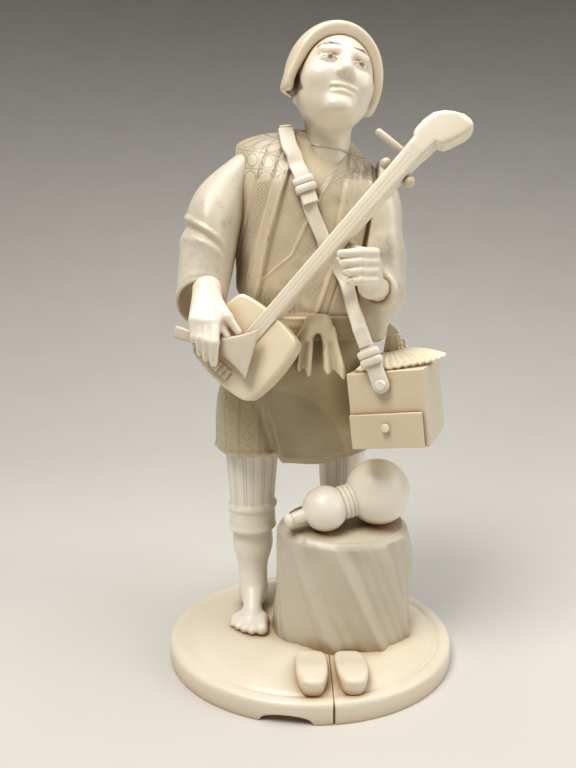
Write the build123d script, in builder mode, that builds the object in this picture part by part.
"""Sectional okimono: a strolling musician carved in pieces and pegged together on a two-part oval base.

Millimetres, +Z up. The origin is the centre of the base's underside, and the figure faces -Y.
"""

import os
from math import acos, cos, pi, radians, sin, sqrt

from build123d import *

os.makedirs("parts", exist_ok=True)


# Fits shared by every joint
glue_gap = 0.05  # radial play of a glued peg in its hole
running_gap = 0.05  # radial play of a piece that turns
clear_gap = 0.3  # air between pieces that only pass each other
peg_end_gap = 0.5  # room left at the end of a blind peg hole

# Oval base in two halves
base_half_width = 59.0
base_half_depth = 51.5
rim_height = 8.3
rim_inset = 3.2
ground_rise = 1.2
rim_round = 1.6
seam_x = 7.0
seam_gap = 0.3
arch_center_x = -10.0
arch_width = 19.0
arch_height = 3.2
arch_reach = 12.0
base_dowel_radius = 2.2
base_dowel_length = 24.0
base_dowel_spread = 44.0

# Tree stump and the gourd bottle on it
stump_x = 13.6
stump_y = -0.5
stump_half_width = 29.4
stump_half_depth = 21.5
stump_top_half_width = 27.5
stump_top_half_depth = 20.0
stump_height = 47.0
stump_top_slope = 6.8
stump_peg_radius = 3.0
stump_peg_length = 12.0
gourd_big_radius = 13.4
gourd_small_radius = 9.2
gourd_span_x = 22.0
gourd_span_y = 7.0
gourd_big_x = 14.0
gourd_big_y = 0.5
gourd_seat = 0.4
gourd_waist_radius = 5.6
gourd_neck_length = 14.0
gourd_neck_root = 4.4
gourd_neck_tip = 2.7
gourd_cord_radius = 0.9
stopper_radius = 3.0
stopper_length = 3.4
stopper_pin_radius = 1.2
stopper_pin_length = 4.0

# Sandals left standing on the ground
sandal_width = 12.0
sandal_length = 25.0
sandal_height = 4.2
sandal_gap = 2.8
sandal_stagger = 3.0

# Legs
right_leg_x = -25.0
right_leg_y = 16.0
left_leg_x = 15.5
left_leg_y = 33.0
leg_height = 74.0
thigh_radius = 11.4
knee_radius = 9.4
knee_band_radius = 10.6
knee_band_width = 10.0
knee_band_drop = 30.0
calf_radius = 8.0
ankle_radius = 5.7
foot_length = 34.0
foot_width = 15.6
right_foot_turn = -2.0
left_foot_turn = 70.0
leg_tenon_radius = 7.0
leg_tenon_length = 9.0
foot_peg_radius = 1.8
foot_peg_length = 9.0

# Skirt and upper body of the robe
skirt_x = -7.0
skirt_y = 20.0
hem_half_width = 34.0
hem_half_depth = 23.0
hem_turn = 20.0
skirt_height = 58.0
waist_x = 2.5
waist_y = 13.0
waist_half_width = 22.5
waist_half_depth = 17.0
waist_peg_radius = 6.0
waist_peg_length = 16.0
torso_height = 72.0
chest_x = -0.5
chest_y = 16.0
chest_half_width = 32.0
chest_half_depth = 19.5
shoulder_drop = 6.0
collar_half_width = 12.5
collar_half_depth = 11.0
chest_lean = 16.0
shoulder_roll = 7.0
right_shoulder_x = -30.5
left_shoulder_x = 30.0
left_seam_lean = 9.3
shoulder_peg_radius = 3.0
shoulder_peg_length = 12.0

# Head, hood and neck
neck_x = 6.5
neck_y = 14.5
neck_radius = 9.3
neck_tenon_length = 10.0
head_x = 8.5
head_y = 10.0
head_rise = 91.0
head_turn = 15.0
head_lift = 18.0
head_tilt = 10.0
skull_half_width = 14.4
skull_half_depth = 17.0
skull_half_height = 19.0
jaw_half_width = 12.0
jaw_half_depth = 12.5
jaw_half_height = 13.0
hood_half_width = 20.2
hood_half_depth = 22.5
hood_half_height = 21.6
hood_wall = 2.4

# Three-string lute
lute_x = -24.6
lute_y = -13.0
lute_drop = 11.7
lute_neck_angle = 49.0
lute_face_turn = 18.0
lute_side = 29.5
lute_bulge = 1.3
lute_depth = 13.0
lute_corner = 1.6
neck_reach = 98.0
neck_root_width = 7.4
neck_tip_width = 6.2
neck_depth = 6.4
neck_tenon_depth = 8.0
neck_tongue_length = 11.0
neck_tongue_rise = 0.7
lute_head_length = 15.0
lute_head_width = 17.0
lute_head_depth = 8.0
lute_head_root = 3.0
peg_setback = 7.0
peg_spacing = 7.0
peg_radius = 1.25
peg_pin_radius = 0.9
peg_length = 15.0
knob_peg_radius = 2.0
tailpiece_width = 7.0
tailpiece_length = 4.0
tailpiece_depth = 1.0
lute_peg_radius = 2.0
lute_peg_sink = 4.0
plectrum_length = 28.0
plectrum_handle_radius = 2.6
plectrum_edge_width = 17.0
plectrum_blade_length = 13.0
plectrum_edge_depth = 1.4
plectrum_lift = 4.6

# Hands, sleeves, knot and strap, whose places on the body are counted in steps of this length
step = 1.0
palm_radius = 5.0
finger_radius = 1.75
wrist_radius = 4.6
cuff_recess = 7.0

# Shoulder strap and the box that hangs from it
strap_width = 5.4
strap_depth = 2.2
strap_lift = 0.3
keeper_play = 0.6
keeper_wall = 1.2
keeper_length = 5.6
tab_width = 6.2
tab_reach = 15.0
keeper_station = 11.0
tab_slant = -15.5
box_x = 27.7
box_y = -22.6
box_drop = 33.7
box_turn = 21.7
box_roll = 7.0
box_width = 29.2
box_depth = 35.0
box_height = 29.0
pin_offset = -1.2
pin_below_top = 4.8
tab_pin_radius = 1.6
tab_pin_head = 2.3
tab_pin_sink = 4.0
bay_floor = 2.4
bay_roof = 1.6
bay_wall = 3.2
drawer_front_height = 13.4
drawer_front_width = 27.4
drawer_front_depth = 1.5
drawer_play = 0.3
drawer_wall = 1.8
drawer_knob_radius = 1.6
drawer_knob_pin = 0.8

# Folding fan that lies on the box
fan_radius = 27.0
fan_inner_radius = 5.0
fan_spread = 86.0
fan_heading = -63.0
fan_folds = 9
fan_depth = 1.3
fan_slope = 12.4
fan_pivot_x = -4.0
fan_pivot_y = 27.0
fan_root_width = 9.0
fan_root_depth = 5.0
fan_root_height = 12.0

# Heights and places that follow from the sizes above
ground_z = rim_height + ground_rise
hem_z = ground_z + leg_height
waist_z = hem_z + skirt_height
collar_z = waist_z + torso_height
head_z = waist_z + head_rise
lute_z = waist_z - lute_drop
box_z = waist_z - box_drop
right_knee_z = hem_z - knee_band_drop
peg_station = neck_reach - peg_setback
lower_peg_station = peg_station - peg_spacing


def oval(place, half_width, half_depth):
    """An ellipse on a plane, as a loose section for a loft."""
    with BuildSketch(place) as outline:
        Ellipse(half_width, half_depth)
    return outline.sketch


def tilted(x, y, z, normal, across):
    """A section plane at a point, with its normal and the direction of its first axis."""
    return Plane(origin=(x, y, z), x_dir=across, z_dir=normal)


def limb(start, end, start_radius, end_radius):
    """A round-ended tapering limb between two points, as a loose solid."""
    start, end = Vector(start), Vector(end)
    run = end - start
    slant = (start_radius - end_radius) / run.length
    rise = sqrt(1 - slant * slant)
    turn = acos(slant)
    aside = run.cross(Vector(0, 0, 1)) if abs(run.Z) < 0.9 * run.length else run.cross(Vector(1, 0, 0))
    with BuildPart() as piece:
        with BuildSketch(Plane(origin=start, x_dir=run, z_dir=aside)):
            with BuildLine():
                tail = (-start_radius, 0)
                tail_side = (start_radius * slant, start_radius * rise)
                nose_side = (run.length + end_radius * slant, end_radius * rise)
                nose = (run.length + end_radius, 0)
                back = (pi + turn) / 2
                ThreePointArc(tail, (start_radius * cos(back), start_radius * sin(back)), tail_side)
                Line(tail_side, nose_side)
                front = (run.length + end_radius * cos(turn / 2), end_radius * sin(turn / 2))
                ThreePointArc(nose_side, front, nose)
                Line(nose, tail)
            make_face()
        revolve(axis=Axis(start, run))
    return piece.part


def rod(start, end, radius, mode=Mode.ADD):
    """A plain round rod between two points, added to the part being built or cut from it."""
    start, end = Vector(start), Vector(end)
    run = end - start
    with Locations(Plane(origin=start, z_dir=run.normalized()).location):
        Cylinder(radius, run.length, align=(Align.CENTER, Align.CENTER, Align.MIN), mode=mode)


def egg(place, half_width, half_depth, half_height):
    """An ellipsoid on a plane's three axes, as a loose solid."""
    with BuildPart() as ball:
        Sphere(1)
        scale(by=(half_width, half_depth, half_height))
    return place.location * ball.part


def finish(piece, name):
    """Names a piece and writes it."""
    piece.part.label = name
    export_step(piece.part, f"parts/{name}.step")


# Base: an oval plate with a stepped rim and one bracket arch, sawn into two halves along the seam
with BuildPart() as plate:
    with BuildSketch():
        Ellipse(base_half_width, base_half_depth)
    extrude(amount=rim_height)
    fillet(plate.edges().group_by(Axis.Z)[-1], rim_round)
    with BuildSketch(Plane.XY.offset(rim_height)):
        Ellipse(base_half_width - rim_inset, base_half_depth - rim_inset)
    extrude(amount=ground_rise)
    fillet(plate.edges().group_by(Axis.Z)[-1], ground_rise * 0.6)
    with BuildSketch(Plane.XZ.offset(base_half_depth + 1)):
        with BuildLine():
            arch_left = (arch_center_x - arch_width / 2, 0)
            arch_right = (arch_center_x + arch_width / 2, 0)
            crown_left = (arch_center_x - arch_width / 4, arch_height)
            crown_right = (arch_center_x + arch_width / 4, arch_height)
            TangentArc(crown_left, arch_left, tangent=(-1, 0))
            Line(crown_left, crown_right)
            TangentArc(crown_right, arch_right, tangent=(1, 0))
            Line(arch_right, arch_left)
        make_face()
    extrude(amount=-arch_reach, mode=Mode.SUBTRACT)

dowel_y = base_dowel_spread / 2
dowel_z = rim_height / 2
half_dowel = base_dowel_length / 2
for half_name, side in (("base_left", -1), ("base_right", 1)):
    with BuildPart() as base_half:
        add(plate.part)
        face_x = seam_x + side * seam_gap / 2
        split(bisect_by=Plane((face_x, 0, 0), z_dir=(side, 0, 0)), keep=Keep.TOP)
        for y in (-dowel_y, dowel_y):
            hole_end = (seam_x + side * (half_dowel + peg_end_gap), y, dowel_z)
            rod((seam_x, y, dowel_z), hole_end, base_dowel_radius + glue_gap, Mode.SUBTRACT)
        if side > 0:
            stump_peg_foot = ground_z - stump_peg_length / 2 - peg_end_gap
            rod(
                (stump_x + 4 * stump_peg_radius, stump_y, stump_peg_foot),
                (stump_x + 4 * stump_peg_radius, stump_y, ground_z + 1),
                stump_peg_radius + glue_gap,
                Mode.SUBTRACT,
            )
        foot_x, foot_y = (right_leg_x, right_leg_y) if side < 0 else (left_leg_x, left_leg_y)
        rod(
            (foot_x, foot_y, ground_z - foot_peg_length / 2 - peg_end_gap),
            (foot_x, foot_y, ground_z + 1),
            foot_peg_radius + glue_gap,
            Mode.SUBTRACT,
        )
    finish(base_half, half_name)

with BuildPart() as base_dowels:
    for y in (-dowel_y, dowel_y):
        rod((seam_x - half_dowel, y, dowel_z), (seam_x + half_dowel, y, dowel_z), base_dowel_radius)
finish(base_dowels, "base_dowels")

# Stump: a lofted trunk, sawn off on a slope, pegged to the right half of the base
stump_top = Plane(
    origin=(stump_x, stump_y, ground_z + stump_height),
    x_dir=(1, 0, 0),
    z_dir=(0, -sin(radians(stump_top_slope)), cos(radians(stump_top_slope))),
)
peg_x = stump_x + 4 * stump_peg_radius
with BuildPart() as stump:
    trunk_sections = []
    for share, flare in ((0, 1.0), (0.4, 0.35), (1.25, 0.0)):
        trunk_sections.append(
            oval(
                Plane((stump_x, stump_y, ground_z + share * stump_height)),
                stump_top_half_width + flare * (stump_half_width - stump_top_half_width),
                stump_top_half_depth + flare * (stump_half_depth - stump_top_half_depth),
            )
        )
    loft(sections=trunk_sections)
    split(bisect_by=stump_top, keep=Keep.BOTTOM)
    rod(
        (peg_x, stump_y, ground_z - 1),
        (peg_x, stump_y, ground_z + stump_peg_length / 2 + peg_end_gap),
        stump_peg_radius + glue_gap,
        Mode.SUBTRACT,
    )
finish(stump, "stump")

with BuildPart() as stump_peg:
    half_peg = stump_peg_length / 2
    rod((peg_x, stump_y, ground_z - half_peg), (peg_x, stump_y, ground_z + half_peg), stump_peg_radius)
finish(stump_peg, "stump_peg")

# Gourd bottle: two turned bulbs, a waist and a neck, with flats where it sits on the stump
big_bulb = stump_top.from_local_coords((gourd_big_x, gourd_big_y, gourd_big_radius - gourd_seat))
small_bulb = stump_top.from_local_coords(
    (gourd_big_x - gourd_span_x, gourd_big_y - gourd_span_y, gourd_small_radius - gourd_seat)
)
gourd_way = (small_bulb - big_bulb).normalized()
gourd_mouth = small_bulb + gourd_way * gourd_neck_length
gourd_gap = (small_bulb - big_bulb).length - gourd_big_radius - gourd_small_radius
gourd_waist = big_bulb + gourd_way * (gourd_big_radius + gourd_gap / 2)
with BuildPart() as gourd:
    with Locations(big_bulb):
        Sphere(gourd_big_radius)
    with Locations(small_bulb):
        Sphere(gourd_small_radius)
    rod(big_bulb, small_bulb, gourd_waist_radius)
    with Locations(Plane(origin=small_bulb, z_dir=gourd_way).location):
        Cone(
            gourd_neck_root,
            gourd_neck_tip,
            gourd_neck_length,
            align=(Align.CENTER, Align.CENTER, Align.MIN),
        )
    split(bisect_by=stump_top, keep=Keep.TOP)
    pin_floor = gourd_mouth - gourd_way * (stopper_pin_length + peg_end_gap)
    rod(pin_floor, gourd_mouth + gourd_way, stopper_pin_radius + glue_gap, Mode.SUBTRACT)
finish(gourd, "gourd")

with BuildPart() as gourd_cord:
    with Locations(Plane(origin=gourd_waist, z_dir=gourd_way).location):
        for coil in (-1, 0, 1):
            with Locations((0, 0, coil * 2 * gourd_cord_radius)):
                Torus(gourd_waist_radius + gourd_cord_radius, gourd_cord_radius)
    add(gourd.part, mode=Mode.SUBTRACT)
finish(gourd_cord, "gourd_cord")

with BuildPart() as gourd_stopper:
    rod(gourd_mouth - gourd_way * stopper_pin_length, gourd_mouth, stopper_pin_radius)
    with Locations(Plane(origin=gourd_mouth, z_dir=gourd_way).location):
        Cylinder(stopper_radius, stopper_length, align=(Align.CENTER, Align.CENTER, Align.MIN))
    fillet(gourd_stopper.edges().filter_by(GeomType.CIRCLE).sort_by(Axis(gourd_mouth, gourd_way))[-1], 1.2)
finish(gourd_stopper, "gourd_stopper")

# Sandals: a pair of thick soles set down either side of the seam, heels to the stump
sandal_heel_y = stump_y - stump_half_depth - clear_gap
for sandal_name, side, stagger in (("sandal_left", -1, 0.0), ("sandal_right", 1, sandal_stagger)):
    sole_length = sandal_length - stagger
    with BuildPart() as sandal:
        with BuildSketch(Plane.XY.offset(ground_z)):
            sole_x = seam_x + side * (sandal_gap + sandal_width) / 2
            with Locations((sole_x, sandal_heel_y - sole_length / 2)):
                RectangleRounded(sandal_width, sole_length, sandal_width * 0.42)
        extrude(amount=sandal_height)
        fillet(sandal.edges().group_by(Axis.Z)[-1], 0.8)
    finish(sandal, sandal_name)


# Legs: trouser, knee band, bare shin and foot carved from one piece, with a tenon for the skirt
with BuildPart() as knee_band:
    Cylinder(knee_band_radius, knee_band_width)
    fillet(knee_band.edges().filter_by(GeomType.CIRCLE), 1.0)


def carve_leg(x, y, turn):
    """One leg standing at a point of the ground, its foot turned from straight ahead, in degrees."""
    ahead = Vector(sin(radians(turn)), -cos(radians(turn)), 0)
    aside = Vector(cos(radians(turn)), sin(radians(turn)), 0)
    with BuildPart() as leg:
        shank = (
            (0.08, ankle_radius * 1.05),
            (0.22, ankle_radius),
            (0.46, calf_radius),
            (0.62, knee_radius),
            (1.0, thigh_radius),
        )
        loft(sections=[oval(Plane((x, y, ground_z + s * leg_height)), r, r) for s, r in shank])
        add(knee_band.part.moved(Location((x, y, right_knee_z))))
        foot_sections = (
            (-0.24, 0.34, 0.15, 0.17),
            (-0.04, 0.40, 0.22, 0.24),
            (0.26, 0.46, 0.13, 0.20),
            (0.56, 0.52, 0.09, 0.12),
            (0.74, 0.42, 0.06, 0.08),
        )
        soles = []
        for along, wide, rise, tall in foot_sections:
            heel_to_toe = Vector(x, y, ground_z) + ahead * (along * foot_length)
            center = heel_to_toe + Vector(0, 0, rise * foot_length)
            soles.append(
                oval(Plane(center, x_dir=aside, z_dir=ahead), wide * foot_width, tall * foot_length)
            )
        loft(sections=soles)
        split(bisect_by=Plane.XY.offset(ground_z), keep=Keep.TOP)
        rod((x, y, hem_z), (x, y, hem_z + leg_tenon_length), leg_tenon_radius)
        rod(
            (x, y, ground_z - 1),
            (x, y, ground_z + foot_peg_length / 2 + peg_end_gap),
            foot_peg_radius + glue_gap,
            Mode.SUBTRACT,
        )
    return leg


finish(carve_leg(right_leg_x, right_leg_y, right_foot_turn), "leg_right")
finish(carve_leg(left_leg_x, left_leg_y, left_foot_turn), "leg_left")

with BuildPart() as foot_pegs:
    for x, y in ((right_leg_x, right_leg_y), (left_leg_x, left_leg_y)):
        rod((x, y, ground_z - foot_peg_length / 2), (x, y, ground_z + foot_peg_length / 2), foot_peg_radius)
finish(foot_pegs, "foot_pegs")

# Lute frame: first axis along the neck, second across the face, normal out of the face
neck_way = Vector(cos(radians(lute_neck_angle)), 0, sin(radians(lute_neck_angle)))
neck_side = Vector(-sin(radians(lute_neck_angle)), 0, cos(radians(lute_neck_angle)))
lute_normal = Vector(0, -1, 0) * cos(radians(lute_face_turn)) + neck_side * sin(radians(lute_face_turn))
lute_plane = Plane(origin=(lute_x, lute_y, lute_z), x_dir=neck_way, z_dir=lute_normal)
lute_face = lute_plane.offset(lute_depth / 2)
lute_back = lute_plane.offset(-lute_depth / 2)


def on_lute(along, across, out):
    """A point in the lute's own frame."""
    return lute_plane.from_local_coords((along, across, out))


# Skirt: a lofted block from hem to waist with sockets for the legs, the waist peg and the lute's peg
lute_peg_start = on_lute(0, -lute_side / 4, -lute_depth / 2 + lute_peg_sink)
lute_peg_end = Vector(lute_peg_start.X, skirt_y - hem_half_depth / 3, lute_peg_start.Z)
skirt_shape = (
    (0.0, 1.0, 1.0),
    (0.42, 0.94, 0.93),
    (0.74, 0.6, 0.62),
    (1.0, 0.0, 0.0),
)
with BuildPart() as skirt:
    rings = []
    for share, wide, deep in skirt_shape:
        center = (
            waist_x + wide * (skirt_x - waist_x),
            waist_y + wide * (skirt_y - waist_y),
            hem_z + share * skirt_height,
        )
        heading = radians(wide * hem_turn)
        rings.append(
            oval(
                Plane(origin=center, x_dir=(cos(heading), sin(heading), 0), z_dir=(0, 0, 1)),
                waist_half_width + wide * (hem_half_width - waist_half_width),
                waist_half_depth + deep * (hem_half_depth - waist_half_depth),
            )
        )
    loft(sections=rings)
    for x, y in ((right_leg_x, right_leg_y), (left_leg_x, left_leg_y)):
        socket_top = hem_z + leg_tenon_length + peg_end_gap
        rod((x, y, hem_z - 1), (x, y, socket_top), leg_tenon_radius + glue_gap, Mode.SUBTRACT)
    rod(
        (waist_x, waist_y, waist_z - waist_peg_length / 2 - peg_end_gap),
        (waist_x, waist_y, waist_z + 1),
        waist_peg_radius + glue_gap,
        Mode.SUBTRACT,
    )
    rod(lute_peg_start, lute_peg_end + Vector(0, peg_end_gap, 0), lute_peg_radius + glue_gap, Mode.SUBTRACT)
finish(skirt, "skirt")

with BuildPart() as waist_peg:
    half_peg = waist_peg_length / 2
    rod((waist_x, waist_y, waist_z - half_peg), (waist_x, waist_y, waist_z + half_peg), waist_peg_radius)
finish(waist_peg, "waist_peg")

with BuildPart() as lute_peg:
    rod(lute_peg_start, lute_peg_end, lute_peg_radius)
finish(lute_peg, "lute_peg")

# Upper body: a lofted block with flat shoulder seams, leaning forward at the collar
lean = Vector(sin(radians(shoulder_roll)), -sin(radians(chest_lean)), cos(radians(chest_lean)))
torso_shape = (
    (0.0, waist_x, waist_y, waist_half_width, waist_half_depth, 0.0),
    (0.28, chest_x, chest_y - 1, chest_half_width * 0.84, chest_half_depth * 0.95, 0.0),
    (0.56, chest_x, chest_y, chest_half_width * 0.98, chest_half_depth, 0.0),
    (0.78, chest_x, chest_y + 1, chest_half_width, chest_half_depth * 0.92, 0.5),
    (0.91, chest_x, chest_y + 2, chest_half_width * 0.82, chest_half_depth * 0.7, 1.0),
    (1.0, neck_x - 1, neck_y + 4.5, collar_half_width, collar_half_depth, 1.0),
)
right_seam = Plane(origin=(right_shoulder_x, 0, waist_z), x_dir=(0, 1, 0), z_dir=(-1, 0, 0))
left_seam_normal = Vector(cos(radians(left_seam_lean)), 0, -sin(radians(left_seam_lean)))
left_seam = Plane(
    origin=(left_shoulder_x, 0, collar_z - shoulder_drop), x_dir=(0, 1, 0), z_dir=left_seam_normal
)
right_joint = Vector(right_shoulder_x, chest_y, waist_z + torso_height * 0.72)
left_joint = Vector(
    left_shoulder_x - (torso_height * 0.28 - shoulder_drop) * sin(radians(left_seam_lean)),
    chest_y,
    waist_z + torso_height * 0.72,
)
right_peg_way = Vector(-1, 0, 0)
half_shoulder_peg = shoulder_peg_length / 2
neck_seat_z = collar_z - neck_radius - neck_tenon_length

with BuildPart() as torso:
    rings = []
    for share, x, y, wide, deep, slant in torso_shape:
        normal = Vector(lean.X * slant, lean.Y * slant, 1 + (lean.Z - 1) * slant)
        across = Vector(normal.Z, 0, -normal.X).normalized()
        rings.append(oval(tilted(x, y, waist_z + share * torso_height, normal, across), wide, deep))
    loft(sections=rings)
    split(bisect_by=right_seam, keep=Keep.BOTTOM)
    split(bisect_by=left_seam, keep=Keep.BOTTOM)
    rod(
        (neck_x, neck_y, neck_seat_z),
        (neck_x, neck_y, collar_z + 20),
        neck_radius + glue_gap,
        Mode.SUBTRACT,
    )
    rod(
        (waist_x, waist_y, waist_z - 1),
        (waist_x, waist_y, waist_z + waist_peg_length / 2 + peg_end_gap),
        waist_peg_radius + glue_gap,
        Mode.SUBTRACT,
    )
    for joint, way in ((right_joint, right_peg_way), (left_joint, left_seam_normal)):
        rod(
            joint - way * (half_shoulder_peg + peg_end_gap),
            joint + way,
            shoulder_peg_radius + glue_gap,
            Mode.SUBTRACT,
        )
finish(torso, "torso")

with BuildPart() as shoulder_pegs:
    for joint, way in ((right_joint, right_peg_way), (left_joint, left_seam_normal)):
        rod(joint - way * half_shoulder_peg, joint + way * half_shoulder_peg, shoulder_peg_radius)
finish(shoulder_pegs, "shoulder_pegs")

# Head: skull, jaw, nose and ears on a round neck that plugs into the collar
head_ahead = Vector(
    sin(radians(head_turn)) * cos(radians(head_lift)),
    -cos(radians(head_turn)) * cos(radians(head_lift)),
    sin(radians(head_lift)),
)
level_side = Vector(cos(radians(head_turn)), sin(radians(head_turn)), 0)
level_up = head_ahead.cross(level_side)
head_up = level_up * cos(radians(head_tilt)) + level_side * sin(radians(head_tilt))
head_side = level_side * cos(radians(head_tilt)) - level_up * sin(radians(head_tilt))
head_plane = Plane(origin=(head_x, head_y, head_z), x_dir=head_side, z_dir=head_up)


def on_head(aside, back, up):
    """A point in the head's own frame: to its side, towards its back and up."""
    return head_plane.from_local_coords((aside, back, up))


skull_up = hood_half_height - hood_wall - skull_half_height
skull_place = Plane(origin=on_head(0, 1, skull_up), x_dir=head_side, z_dir=head_up)
jaw_place = Plane(origin=on_head(0, -3.5, -10), x_dir=head_side, z_dir=head_up)
head_shapes = [
    egg(skull_place, skull_half_width, skull_half_depth, skull_half_height - glue_gap),
    egg(jaw_place, jaw_half_width, jaw_half_depth, jaw_half_height),
    limb(on_head(0, -14.5, 0), on_head(0, -16, -6), 1.2, 2.3),
]
for ear in (-1, 1):
    ear_top = on_head(ear * skull_half_width, 2, 0)
    head_shapes.append(limb(ear_top, on_head(ear * (skull_half_width - 1), 1, -7), 2.6, 1.9))
with BuildPart() as head:
    add(head_shapes)
    rod((neck_x, neck_y, neck_seat_z + peg_end_gap), (neck_x, neck_y, head_z - 6), neck_radius)
finish(head, "head")

# Hood: a hollow cap that covers the crown and stands off the cheeks
hood_place = Plane(origin=on_head(0, 1, 0), x_dir=head_side, z_dir=head_up)
hood_outside = egg(hood_place, hood_half_width, hood_half_depth, hood_half_height)
hood_inside = egg(
    hood_place,
    hood_half_width - hood_wall,
    hood_half_depth - hood_wall,
    hood_half_height - hood_wall,
)
with BuildPart() as hood:
    add(hood_outside)
    add(hood_inside, mode=Mode.SUBTRACT)
    brim_normal = head_ahead * 0.84 - head_up * 0.54
    split(bisect_by=Plane(origin=on_head(0, -11, 0), z_dir=brim_normal), keep=Keep.BOTTOM)
    split(bisect_by=Plane(origin=on_head(0, 0, -hood_half_height * 0.52), z_dir=head_up), keep=Keep.TOP)
    add(head.part, mode=Mode.SUBTRACT)
finish(hood, "hood")

# Lute body: a rounded square box with bowed sides
half_side = lute_side / 2
with BuildPart() as lute_body:
    with BuildSketch(lute_back):
        with BuildLine():
            corners = [(half_side, half_side), (-half_side, half_side), (-half_side, -half_side)]
            corners.append((half_side, -half_side))
            bows = [(0, half_side + lute_bulge), (-half_side - lute_bulge, 0)]
            bows += [(0, -half_side - lute_bulge), (half_side + lute_bulge, 0)]
            for start, middle, end in zip(corners, bows, corners[1:] + corners[:1]):
                ThreePointArc(start, middle, end)
        make_face()
        fillet(vertices(), lute_corner)
    extrude(amount=lute_depth)
    fillet(lute_body.faces().sort_by(Axis(lute_plane.origin, lute_normal))[-1].edges(), 0.7)
    neck_mortise = half_side + lute_bulge - neck_tenon_depth
    with BuildSketch(lute_face.offset(-neck_depth - glue_gap)):
        with Locations(((neck_mortise - glue_gap + lute_side) / 2, 0)):
            Rectangle(lute_side - neck_mortise + glue_gap, neck_root_width + 2 * glue_gap)
    extrude(amount=neck_depth + 2, mode=Mode.SUBTRACT)
    rod(lute_peg_start, lute_peg_end, lute_peg_radius + glue_gap, Mode.SUBTRACT)
finish(lute_body, "lute_body")

# Lute neck: a tapering bar let into the body, with a tongue on the face, a peg box and a flared head
with BuildPart() as lute_neck:
    with BuildSketch(lute_face.offset(-neck_depth)):
        with BuildLine():
            Polyline(
                (neck_mortise, -neck_root_width / 2),
                (half_side + lute_bulge, -neck_root_width / 2),
                (neck_reach, -neck_tip_width / 2),
                (neck_reach, neck_tip_width / 2),
                (half_side + lute_bulge, neck_root_width / 2),
                (neck_mortise, neck_root_width / 2),
                close=True,
            )
        make_face()
    extrude(amount=neck_depth + neck_tongue_rise)
    with BuildSketch(lute_face):
        with Locations((neck_mortise - neck_tongue_length / 2 + 1, 0)):
            Rectangle(neck_tongue_length + 2, neck_root_width)
    extrude(amount=neck_tongue_rise)
    with BuildSketch(lute_face.offset(-lute_head_depth)):
        with BuildLine():
            Polyline(
                (neck_reach - lute_head_root, -neck_tip_width / 2),
                (neck_reach, -lute_head_width * 0.36),
                (neck_reach + lute_head_length * 0.62, -lute_head_width * 0.46),
                (neck_reach + lute_head_length, -lute_head_width * 0.22),
                (neck_reach + lute_head_length * 0.94, lute_head_width * 0.3),
                (neck_reach + lute_head_length * 0.66, lute_head_width * 0.5),
                (neck_reach + lute_head_length * 0.1, lute_head_width * 0.46),
                (neck_reach - lute_head_root, neck_tip_width / 2),
                close=True,
            )
        make_face()
    extrude(amount=lute_head_depth + neck_tongue_rise)
    for station, start, end in (
        (peg_station, 0, neck_tip_width),
        (lower_peg_station, neck_tip_width * 0.15, neck_tip_width),
        (lower_peg_station, -neck_tip_width * 0.15, -neck_tip_width),
    ):
        rod(
            on_lute(station, start, lute_depth / 2 - neck_depth / 2),
            on_lute(station, end, lute_depth / 2 - neck_depth / 2),
            peg_pin_radius + running_gap,
            Mode.SUBTRACT,
        )
finish(lute_neck, "lute_neck")

# Tuning pegs: one long and two short with round ends, each turning in its own hole
peg_level = lute_depth / 2 - neck_depth / 2
neck_taper = (neck_root_width - neck_tip_width) / 2 / (neck_reach - half_side - lute_bulge)
upper_edge = neck_tip_width / 2 + neck_taper * (neck_reach - peg_station) + clear_gap / 2
lower_edge = neck_tip_width / 2 + neck_taper * (neck_reach - lower_peg_station) + clear_gap / 2
peg_shank = limb(
    on_lute(peg_station, upper_edge + peg_radius, peg_level),
    on_lute(peg_station, upper_edge + peg_length, peg_level),
    peg_radius,
    peg_radius * 0.96,
)
with BuildPart() as tuning_peg_upper:
    add(peg_shank)
    rod(
        on_lute(peg_station, 0.4, peg_level),
        on_lute(peg_station, upper_edge + peg_radius, peg_level),
        peg_pin_radius,
    )
finish(tuning_peg_upper, "tuning_peg_upper")
for peg_name, side in (("tuning_peg_left", 1), ("tuning_peg_right", -1)):
    knob_middle = on_lute(lower_peg_station, side * (lower_edge + knob_peg_radius), peg_level)
    knob_end = on_lute(lower_peg_station, side * (lower_edge + knob_peg_radius + 0.6), peg_level)
    knob = limb(knob_middle, knob_end, knob_peg_radius, knob_peg_radius * 0.96)
    with BuildPart() as tuning_peg:
        add(knob)
        rod(on_lute(lower_peg_station, side * neck_tip_width * 0.2, peg_level), knob_middle, peg_pin_radius)
    finish(tuning_peg, peg_name)

# Tailpiece: a small patch glued to the low end of the lute's face
with BuildPart() as lute_tailpiece:
    with BuildSketch(lute_face):
        with Locations((-half_side + tailpiece_length / 2 + 1, 0)):
            Rectangle(tailpiece_length, tailpiece_width)
    extrude(amount=tailpiece_depth)
finish(lute_tailpiece, "lute_tailpiece")

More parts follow.
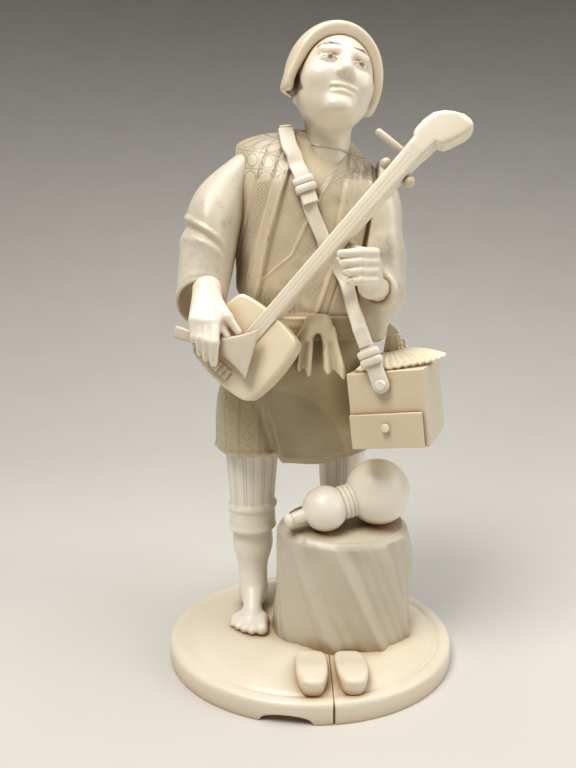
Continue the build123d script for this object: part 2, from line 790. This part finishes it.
# Plectrum: a round handle that spreads into a thin blade, held just off the lute's face
plectrum_level = lute_depth / 2 + plectrum_lift
handle_end = on_lute(-11.6 * step, 20.0 * step, plectrum_level)
blade_way = (on_lute(0.8 * step, -5.5 * step, plectrum_level) - handle_end).normalized()
plectrum_plane = Plane(origin=handle_end, x_dir=blade_way, z_dir=lute_normal)
handle_length = plectrum_length - plectrum_blade_length
with BuildPart() as plectrum:
    rod(handle_end, handle_end + blade_way * (handle_length + 1), plectrum_handle_radius)
    blade_root = Plane(
        origin=handle_end + blade_way * handle_length,
        x_dir=plectrum_plane.y_dir,
        z_dir=blade_way,
    )
    with BuildSketch(blade_root) as blade_start:
        RectangleRounded(2 * plectrum_handle_radius * 0.98, 2 * plectrum_handle_radius * 0.9, 1.2)
    with BuildSketch(blade_root.offset(plectrum_blade_length)) as blade_edge:
        RectangleRounded(plectrum_edge_width, plectrum_edge_depth, plectrum_edge_depth * 0.45)
    loft(sections=[blade_start.sketch, blade_edge.sketch])
finish(plectrum, "plectrum")

# Right hand: hangs over the lute with its fingers in front of the plectrum's handle
grip = handle_end + blade_way * (handle_length * 0.62)
finger_out = lute_normal * (plectrum_handle_radius + finger_radius + clear_gap)
knuckles = grip + Vector(0.5, 0, 6.5) * step + finger_out * 0.55
right_wrist = knuckles + Vector(-3.4, 11.5, 11.0) * step
right_elbow = right_wrist + Vector(-0.5, 8.5, 5.0) * step
right_fingers = [
    limb(right_elbow, right_wrist, wrist_radius, wrist_radius * 0.92),
    limb(right_wrist, knuckles + Vector(-1.8, 2.0, 0.5) * step, wrist_radius * 0.98, palm_radius * 0.82),
    limb(right_wrist, knuckles + Vector(1.8, 2.0, 0.5) * step, wrist_radius * 0.96, palm_radius * 0.8),
]
for finger, drop in enumerate((5.2, 7.4, 8.0, 6.4)):
    aside = Vector((finger - 1.5) * 2 * finger_radius * 0.93, 0, 0)
    root = knuckles + aside + Vector(0, -0.6, -0.4) * step
    middle = grip + aside + finger_out + Vector(0.2, 0, 0.5) * step
    tip = middle + Vector(0.1, 0.4, -drop) * step
    right_fingers.append(limb(root, middle, finger_radius * 1.1, finger_radius * 1.02))
    right_fingers.append(limb(middle, tip, finger_radius, finger_radius * 0.86))
thumb_tip = grip + Vector(7.4, -1.0, 2.0) * step + finger_out * 0.8
thumb_root = knuckles + Vector(4.2, 4.0, 3.0) * step
right_fingers.append(limb(thumb_root, thumb_tip, finger_radius * 1.25, finger_radius))
with BuildPart() as hand_right:
    add(right_fingers)
    rod(
        handle_end - blade_way,
        handle_end + blade_way * (handle_length + 3),
        plectrum_handle_radius + glue_gap,
        Mode.SUBTRACT,
    )
    with BuildSketch(lute_back):
        Rectangle(lute_side + 2 * lute_bulge + 2 * clear_gap, lute_side + 2 * lute_bulge + 2 * clear_gap)
    extrude(amount=lute_depth + clear_gap, mode=Mode.SUBTRACT)
    add(plectrum.part, mode=Mode.SUBTRACT)
finish(hand_right, "hand_right")

# Left hand: a fist beside the neck, its thumb passing behind the bar
hold_station = 48.0
neck_back = lute_depth / 2 - neck_depth
fist_aside = neck_root_width / 2 + 10.5 * step
fist = on_lute(hold_station, -fist_aside, lute_depth / 2 - neck_depth * 0.2) + Vector(2.2, 0, 1.0) * step
left_wrist = fist + Vector(3.2, 5.5, -6.0) * step
left_elbow = left_wrist + Vector(6.6, 9.0, -2.6) * step
left_fingers = [
    limb(left_elbow, left_wrist, wrist_radius, wrist_radius * 0.94),
    limb(left_wrist, fist + Vector(1.6, 1.6, 1.0) * step, wrist_radius * 0.98, palm_radius * 1.05),
    limb(
        fist + Vector(0.8, 1.5, -2.4) * step,
        fist + Vector(0.9, 1.4, 3.4) * step,
        palm_radius * 0.9,
        palm_radius * 0.88,
    ),
]
for finger, reach in enumerate((8.6, 8.0, 6.6, 5.2)):
    level = Vector(0, 0, (1.5 - finger) * 2 * finger_radius * 1.02)
    root = fist + level + Vector(4.6, -2.2, 0) * step
    middle = fist + level + Vector(-2.0, -4.6, 0.2) * step
    tip = fist + level + Vector(-reach, -3.4, 0.3) * step
    left_fingers.append(limb(root, middle, finger_radius * 1.1, finger_radius * 1.06))
    left_fingers.append(limb(middle, tip, finger_radius * 1.04, finger_radius * 0.92))
thumb_tip = on_lute(hold_station + 4.5 * step, 1.0 * step, neck_back - finger_radius - clear_gap)
thumb_root = fist + Vector(0.5, 2.0, 5.0) * step
left_fingers.append(limb(thumb_root, thumb_tip, finger_radius * 1.3, finger_radius * 0.95))
with BuildPart() as hand_left:
    add(left_fingers)
    with BuildSketch(lute_face.offset(-neck_depth - glue_gap)):
        with Locations((neck_reach / 2, 0)):
            Rectangle(neck_reach, neck_root_width + 2 * glue_gap)
    extrude(amount=neck_depth + neck_tongue_rise + clear_gap, mode=Mode.SUBTRACT)
finish(hand_left, "hand_left")

# Sleeves: lofted from the shoulder seam round the elbow to an open cuff that takes the forearm
right_cuff_normal = Vector(0, -0.75, -0.66).normalized()
right_cuff = right_elbow + (right_wrist - right_elbow) * 0.35
with BuildPart() as sleeve_right:
    right_sections = (
        (right_joint + Vector(3.0, 0, 0.5) * step, Vector(-1, 0, 0), Vector(0, 1, 0), 14.0, 14.5),
        (
            right_joint + (right_elbow - right_joint) * 0.34 + Vector(-2.6, -1.0, 2.2) * step,
            Vector(-0.62, 0, -0.78),
            Vector(0, 1, 0),
            14.0,
            10.6,
        ),
        (
            right_joint + (right_elbow - right_joint) * 0.76 + Vector(-1.4, 0.5, 1.0) * step,
            Vector(-0.2, -0.34, -0.92),
            Vector(0, 0.94, -0.347),
            14.0,
            10.4,
        ),
        (right_cuff, right_cuff_normal, Vector(0, 0.66, -0.75), 12.6, 10.2),
    )
    loft(
        sections=[
            oval(tilted(*point, way, across), a * step, b * step)
            for point, way, across, a, b in right_sections
        ]
    )
    split(bisect_by=right_seam, keep=Keep.TOP)
    recess_mouth = tilted(*(right_cuff + right_cuff_normal), right_cuff_normal, Vector(0, 0.66, -0.75))
    recess_floor = recess_mouth.offset(-cuff_recess - 1)
    recess_ends = [oval(recess_floor, 8.2 * step, 6.6 * step), oval(recess_mouth, 11.0 * step, 8.8 * step)]
    loft(sections=recess_ends, mode=Mode.SUBTRACT)
    limb_way = (right_wrist - right_elbow).normalized()
    bore_floor = right_elbow - limb_way * (wrist_radius + peg_end_gap)
    rod(bore_floor, right_wrist, wrist_radius + glue_gap, Mode.SUBTRACT)
    rod(
        right_joint - right_peg_way,
        right_joint + right_peg_way * (half_shoulder_peg + peg_end_gap),
        shoulder_peg_radius + glue_gap,
        Mode.SUBTRACT,
    )
finish(sleeve_right, "sleeve_right")

left_cuff_normal = Vector(-0.3, -0.82, -0.48).normalized()
left_cuff = left_elbow + Vector(1.2, 0.5, -3.6) * step
with BuildPart() as sleeve_left:
    left_across = Vector(0, 0.5, -0.86)
    left_sections = (
        (left_joint + left_seam_normal * -3.0, left_seam_normal, Vector(0, 1, 0), 13.0, 13.0),
        (
            left_joint + (left_elbow - left_joint) * 0.34 + Vector(3.0, 0, 3.0) * step,
            Vector(0.42, -0.06, -0.9),
            Vector(0, 1, -0.0667),
            13.0,
            8.6,
        ),
        (
            left_joint + (left_elbow - left_joint) * 0.76 + Vector(2.4, 3.0, 0.5) * step,
            Vector(0, -0.4, -0.92),
            Vector(0, 0.92, -0.4),
            13.2,
            7.6,
        ),
        (left_cuff, left_cuff_normal, left_across, 11.6, 7.0),
    )
    sections = []
    for point, way, across, a, b in left_sections:
        flat = across - way.normalized() * across.dot(way.normalized())
        sections.append(oval(tilted(*point, way, flat), a * step, b * step))
    loft(sections=sections)
    split(bisect_by=left_seam, keep=Keep.TOP)
    flat = left_across - left_cuff_normal * left_across.dot(left_cuff_normal)
    recess_mouth = tilted(*(left_cuff + left_cuff_normal), left_cuff_normal, flat)
    recess_floor = recess_mouth.offset(-cuff_recess - 1)
    recess_ends = [oval(recess_floor, 7.6 * step, 4.8 * step), oval(recess_mouth, 10.2 * step, 5.8 * step)]
    loft(sections=recess_ends, mode=Mode.SUBTRACT)
    limb_way = (left_wrist - left_elbow).normalized()
    bore_floor = left_elbow - limb_way * (wrist_radius + peg_end_gap)
    rod(bore_floor, left_wrist, wrist_radius + glue_gap, Mode.SUBTRACT)
    rod(
        left_joint - left_seam_normal,
        left_joint + left_seam_normal * (half_shoulder_peg + peg_end_gap),
        shoulder_peg_radius + glue_gap,
        Mode.SUBTRACT,
    )
finish(sleeve_left, "sleeve_left")

# Sash knot: a looped bow with two tails, bedded on the waist
knot_y = waist_y - waist_half_depth
knot_top = Vector(waist_x, knot_y, waist_z) + Vector(-0.4, -3.4, -2.6) * step
knot_folds = [
    limb(knot_top + Vector(*start) * step, knot_top + Vector(*end) * step, a * step, b * step)
    for start, end, a, b in (
        ((-3.2, 0, -1.5), (3.2, 0, -1.5), 3.2, 3.4),
        ((-3.4, 0.2, -2.0), (-5.0, -1.4, -17.5), 2.8, 2.5),
        ((3.6, 0.2, -2.0), (8.2, -1.8, -17.0), 3.2, 3.0),
    )
]
with BuildPart() as sash_knot:
    add(knot_folds)
    add(skirt.part, mode=Mode.SUBTRACT)
    add(torso.part, mode=Mode.SUBTRACT)
finish(sash_knot, "sash_knot")


# Strap: bands bedded on the robe, from the shoulder's crest down the chest and down the back
def on_robe(start, way, lift=strap_lift):
    """Where a line first meets the upper body, lifted to a strap's middle, and the outward normal."""
    hits = torso.part.find_intersection_points(Axis(start, way))
    hits = sorted(hits, key=lambda hit: (hit[0] - Vector(start)).dot(Vector(way)))
    point, normal = hits[0]
    if normal.dot(Vector(way)) > 0:
        normal = normal * -1
    return point + normal * (strap_depth / 2 + lift), normal


def band(stops):
    """Loose strap sections across a row of places, each a point and the outward normal there."""
    sections = []
    for index, (point, normal) in enumerate(stops):
        before = stops[max(index - 1, 0)][0]
        after = stops[min(index + 1, len(stops) - 1)][0]
        run = (after - before).normalized()
        across = run.cross(normal).normalized()
        with BuildSketch(Plane(origin=point, x_dir=across, z_dir=run)) as section:
            RectangleRounded(strap_width, strap_depth, strap_depth * 0.3)
        sections.append(section.sketch)
    return sections


# Box frame: first axis to its right, second to its back, third up, from the middle of its front
box_side = Vector(
    cos(radians(box_turn)) * cos(radians(box_roll)),
    -sin(radians(box_turn)) * cos(radians(box_roll)),
    sin(radians(box_roll)),
)
box_up = Vector(
    -cos(radians(box_turn)) * sin(radians(box_roll)),
    sin(radians(box_turn)) * sin(radians(box_roll)),
    cos(radians(box_roll)),
)
box_plane = Plane(origin=(box_x, box_y, box_z), x_dir=box_side, z_dir=box_up)
box_back_way = box_plane.y_dir


def on_box(right, back, up):
    """A point in the box's own frame."""
    return box_plane.from_local_coords((right, back, up))


pin_up = box_height / 2 - pin_below_top
tab_run_right = tab_reach * sin(radians(tab_slant))
tab_run_up = tab_reach * cos(radians(tab_slant))
tab_out = clear_gap + strap_depth / 2
front_tab_top = on_box(pin_offset + tab_run_right, -tab_out, pin_up + tab_run_up)
back_tab_top = on_box(pin_offset + tab_run_right * 0.4, box_depth + tab_out, pin_up + tab_run_up)

shoulder_z = collar_z - 20 * step
far_off = 80.0


def round_shoulder(x, bearing, lift=strap_lift):
    """A place on the robe seen from the shoulder's middle: 0 degrees in front, 90 above and 180 behind."""
    ahead, above = cos(radians(bearing)), sin(radians(bearing))
    start = (x * step, chest_y - far_off * ahead, shoulder_z + far_off * above)
    return on_robe(start, (0, ahead, -above), lift)


crest_x = -10.0
front_keeper = round_shoulder(-3.0, -7)
front_stops = [
    round_shoulder(crest_x + share * (-3.0 - crest_x), bearing)
    for share, bearing in ((0.0, 87), (0.08, 68), (0.2, 50), (0.38, 34), (0.56, 20), (0.76, 8))
]
front_mid, front_low, front_belly, front_edge = (
    on_robe((x * step, -far_off, waist_z + up * step), (0, 1, 0))
    for x, up in ((0.2, 39.5), (3.6, 30.5), (7.6, 23), (12.0, 16))
)
back_stops = [
    round_shoulder(x, bearing, strap_lift + extra)
    for x, bearing, extra in (
        (crest_x, 91, 0.0),
        (-9.9, 106, 0.5),
        (-9.6, 122, 0.7),
        (-9.0, 140, 0.3),
        (-8.2, 156, 0.0),
        (-6.8, 170, 0.0),
    )
]
spine_stops = [
    on_robe((x * step, far_off, waist_z + up * step), (0, -1, 0))
    for x, up in ((-3.0, 47), (2.5, 36), (8.5, 25), (14.5, 14), (20.0, 5))
]
joint_half = 0.25
lower_way = (front_mid[0] - front_keeper[0]).normalized()
upper_way = (front_keeper[0] - front_stops[-1][0]).normalized()

with BuildPart() as strap_front_upper:
    upper_end = (front_keeper[0] - upper_way * joint_half, front_keeper[1])
    loft(sections=band(front_stops + [upper_end]))
finish(strap_front_upper, "strap_front_upper")

front_tab_foot = on_box(pin_offset, -tab_out, pin_up)
back_tab_foot = on_box(pin_offset, box_depth + tab_out, pin_up)
front_tab_way = (front_tab_top - front_tab_foot).normalized()
back_tab_way = (back_tab_top - back_tab_foot).normalized()
front_normal = box_back_way * -1
hang_normal = (front_edge[1] + front_normal).normalized()
hang = (front_edge[0] + (front_tab_top - front_edge[0]) * 0.5 + Vector(0, -0.6, -0.6) * step, hang_normal)
with BuildPart() as strap_front_lower:
    front_start = (front_keeper[0] + lower_way * joint_half, front_keeper[1])
    front_bend = (front_tab_top + front_tab_way * 2.6 * step, front_normal)
    front_end = (front_tab_top + front_tab_way * joint_half, front_normal)
    chest_stops = [front_start, front_mid, front_low, front_belly, front_edge]
    loft(sections=band(chest_stops + [hang, front_bend, front_end]))
finish(strap_front_lower, "strap_front_lower")

with BuildPart() as strap_back:
    back_bend = (back_tab_top + back_tab_way * 2.6 * step, box_back_way)
    back_end = (back_tab_top + back_tab_way * joint_half, box_back_way)
    loft(sections=band(back_stops + spine_stops + [back_bend, back_end]))
finish(strap_back, "strap_back")

# Strap tabs: round-ended tongues that turn on a pin at the front and the back of the box
strap_tabs = (
    ("strap_tab_front", -tab_out, 1.0),
    ("strap_tab_back", box_depth + tab_out, 0.4),
)
for tab_name, back, lean_share in strap_tabs:
    with BuildPart() as strap_tab:
        foot = on_box(pin_offset, back, pin_up)
        top = on_box(pin_offset + tab_run_right * lean_share, back, pin_up + tab_run_up)
        run = (top - foot).normalized()
        tab_plane = Plane(origin=foot - box_back_way * strap_depth / 2, x_dir=run, z_dir=box_back_way)
        with BuildSketch(tab_plane):
            Circle(tab_width / 2)
            with BuildLine():
                Polyline(
                    (0, -tab_width / 2),
                    ((top - foot).length - joint_half, -strap_width / 2),
                    ((top - foot).length - joint_half, strap_width / 2),
                    (0, tab_width / 2),
                    close=True,
                )
            make_face()
        extrude(amount=strap_depth)
        rod(
            foot - box_back_way * strap_depth,
            foot + box_back_way * strap_depth,
            tab_pin_radius + running_gap,
            Mode.SUBTRACT,
        )
    finish(strap_tab, tab_name)

# Strap keepers: ridged clips over the strap, one on the chest and one above each tab
keepers = (
    ("strap_keeper_upper", front_keeper[0], front_keeper[1], lower_way + upper_way),
    ("strap_keeper_lower", front_tab_foot + front_tab_way * keeper_station, front_normal, front_tab_way),
    ("strap_keeper_back", back_tab_foot + back_tab_way * keeper_station, box_back_way, back_tab_way),
)
clip_half = tab_width / 2 + keeper_play
clip_top = strap_depth / 2 + 2.4 * keeper_play
for keeper_name, point, normal, run in keepers:
    run = (run - normal * run.dot(normal)).normalized()
    with BuildPart() as keeper:
        place = Plane(origin=point - run * keeper_length / 2, x_dir=run.cross(normal), z_dir=run)
        outward = 1 if place.y_dir.dot(normal) > 0 else -1
        with BuildSketch(place):
            with BuildLine():
                Polyline(
                    (-clip_half - keeper_wall, -outward * strap_depth / 2),
                    (-clip_half - keeper_wall, outward * (clip_top + keeper_wall)),
                    (clip_half + keeper_wall, outward * (clip_top + keeper_wall)),
                    (clip_half + keeper_wall, -outward * strap_depth / 2),
                    (clip_half, -outward * strap_depth / 2),
                    (clip_half, outward * clip_top),
                    (-clip_half, outward * clip_top),
                    (-clip_half, -outward * strap_depth / 2),
                    close=True,
                )
            make_face()
        extrude(amount=keeper_length)
    finish(keeper, keeper_name)

# Box: a solid case with a bay for one drawer and a pin hole in its front and back
bay_width = drawer_front_width - 2 * bay_wall
bay_height = drawer_front_height - bay_floor - bay_roof
bay_depth = box_depth - bay_wall
bay_right = -box_width / 2 + drawer_front_width / 2
bay_bottom = -box_height / 2 + bay_floor
box_bottom = box_plane.offset(-box_height / 2)
with BuildPart() as box_case:
    with BuildSketch(box_bottom):
        with Locations((0, box_depth / 2)):
            Rectangle(box_width, box_depth)
    extrude(amount=box_height)
    fillet(box_case.edges(), 0.6)
    with BuildSketch(box_plane.offset(bay_bottom)):
        with Locations((bay_right, bay_depth / 2 - 0.5)):
            Rectangle(bay_width, bay_depth + 1)
    extrude(amount=bay_height, mode=Mode.SUBTRACT)
    for back, way in ((0.0, 1), (box_depth, -1)):
        rod(
            on_box(pin_offset, back - way, pin_up),
            on_box(pin_offset, back + way * (tab_pin_sink + peg_end_gap), pin_up),
            tab_pin_radius + glue_gap,
            Mode.SUBTRACT,
        )
finish(box_case, "box_case")

tab_face = clear_gap + strap_depth
with BuildPart() as strap_pins:
    for back, way in ((0.0, 1), (box_depth, -1)):
        head_start = on_box(pin_offset, back - way * (tab_face + clear_gap / 2), pin_up)
        rod(on_box(pin_offset, back + way * tab_pin_sink, pin_up), head_start, tab_pin_radius)
        with Locations(Plane(origin=head_start, z_dir=box_back_way * -way).location):
            Cone(tab_pin_head, tab_pin_head * 0.7, 1.0, align=(Align.CENTER, Align.CENTER, Align.MIN))
finish(strap_pins, "strap_pins")

# Drawer: a tray with an overlaid front, and its turned knob
front_back = -drawer_play
tray_depth = bay_depth - 2 * drawer_play
tray_height = bay_height - 2 * drawer_play
with BuildPart() as drawer:
    with BuildSketch(box_plane.offset(-box_height / 2 + drawer_play)):
        with Locations((bay_right, front_back - drawer_front_depth / 2)):
            Rectangle(drawer_front_width, drawer_front_depth)
    extrude(amount=drawer_front_height - drawer_play)
    fillet(drawer.edges(), 0.4)
    with BuildSketch(box_plane.offset(bay_bottom + drawer_play)):
        with Locations((bay_right, (front_back + tray_depth) / 2 - drawer_front_depth / 4)):
            Rectangle(bay_width - 2 * drawer_play, tray_depth - front_back + drawer_front_depth / 2)
    extrude(amount=tray_height)
    with BuildSketch(box_plane.offset(bay_bottom + drawer_play + drawer_wall)):
        with Locations((bay_right, (front_back + drawer_wall + tray_depth - drawer_wall) / 2)):
            Rectangle(
                bay_width - 2 * drawer_play - 2 * drawer_wall,
                tray_depth - front_back - 2 * drawer_wall,
            )
    extrude(amount=tray_height, mode=Mode.SUBTRACT)
    knob_up = -box_height / 2 + drawer_front_height * 0.62
    rod(
        on_box(bay_right, front_back - drawer_front_depth - 1, knob_up),
        on_box(bay_right, front_back, knob_up),
        drawer_knob_pin + glue_gap,
        Mode.SUBTRACT,
    )
finish(drawer, "drawer")

with BuildPart() as drawer_knob:
    knob_root = on_box(bay_right, front_back - drawer_front_depth, knob_up)
    rod(knob_root + box_back_way * (drawer_front_depth * 0.9), knob_root, drawer_knob_pin)
    with Locations(Plane(origin=knob_root, z_dir=box_back_way * -1).location):
        Cone(
            drawer_knob_radius * 0.7,
            drawer_knob_radius,
            1.6,
            align=(Align.CENTER, Align.CENTER, Align.MIN),
        )
    fillet(drawer_knob.edges().sort_by(Axis(knob_root, box_back_way * -1))[-1], 0.5)
finish(drawer_knob, "drawer_knob")

# Fan: a pleated sector lying on a slope, its gathered root standing on the box
fan_flat = box_plane.offset(box_height / 2)
fan_rest = fan_radius * sin(radians(fan_slope)) * 0.96
fan_way = box_back_way * cos(radians(fan_slope)) + box_up * sin(radians(fan_slope))
fan_plane = Plane(
    origin=on_box(fan_pivot_x, fan_pivot_y, box_height / 2 + fan_rest),
    x_dir=box_side,
    z_dir=box_side.cross(fan_way),
)
with BuildPart() as fan:
    with BuildSketch(fan_plane):
        with BuildLine():
            rim = []
            for fold in range(2 * fan_folds + 1):
                bearing = radians(fan_heading - fan_spread / 2 + fan_spread * fold / (2 * fan_folds))
                reach = fan_radius if fold % 2 else fan_radius - 1.6
                rim.append((reach * cos(bearing), reach * sin(bearing)))
            first = radians(fan_heading - fan_spread / 2)
            last = radians(fan_heading + fan_spread / 2)
            Polyline(*rim)
            Line(rim[-1], (fan_inner_radius * cos(last), fan_inner_radius * sin(last)))
            Line(rim[0], (fan_inner_radius * cos(first), fan_inner_radius * sin(first)))
            inner_middle = radians(fan_heading)
            ThreePointArc(
                (fan_inner_radius * cos(first), fan_inner_radius * sin(first)),
                (fan_inner_radius * cos(inner_middle), fan_inner_radius * sin(inner_middle)),
                (fan_inner_radius * cos(last), fan_inner_radius * sin(last)),
            )
        make_face()
    extrude(amount=fan_depth)
    with BuildSketch(fan_flat):
        with Locations((fan_pivot_x + 1.5, fan_pivot_y - 2)):
            Rectangle(fan_root_width, fan_root_depth)
    extrude(amount=fan_root_height)
    split(bisect_by=fan_flat, keep=Keep.TOP)
finish(fan, "fan")
